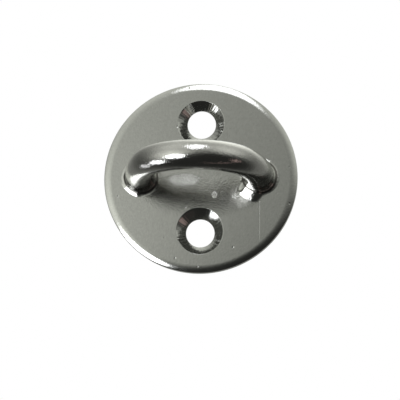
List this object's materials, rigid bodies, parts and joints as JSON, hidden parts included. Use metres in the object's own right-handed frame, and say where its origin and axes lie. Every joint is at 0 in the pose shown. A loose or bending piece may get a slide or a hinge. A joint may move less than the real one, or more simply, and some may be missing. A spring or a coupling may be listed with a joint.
{
  "type": "pad eye",
  "caption": "Round pad eye: a bent rod loop welded through a countersunk disc base, a fixed anchor for shackles, snap hooks and lashings.",
  "frame": {"origin": "centre of the plate's back face, the face that lies on the deck or wall", "axes": "+Z out of the plate towards the crown of the loop, X from leg to leg of the loop, Y through the screw holes"},
  "size_m": [0.04, 0.04, 0.0253],
  "materials": {
    "polished_plate": "stainless steel, polished to a soft mirror with fine scratches",
    "polished_rod": "stainless steel rod, polished bright",
    "polished_weld": "stainless steel weld, polished with the rod",
    "ground_weld": "stainless steel weld, ground flush and left satin"
  },
  "bodies": {
    "root": {"base_plate": "polished_plate", "eye_loop": "polished_rod", "front_weld_left": "polished_weld", "front_weld_right": "polished_weld", "back_weld_left": "ground_weld", "back_weld_right": "ground_weld"}
  },
  "joints": []
}
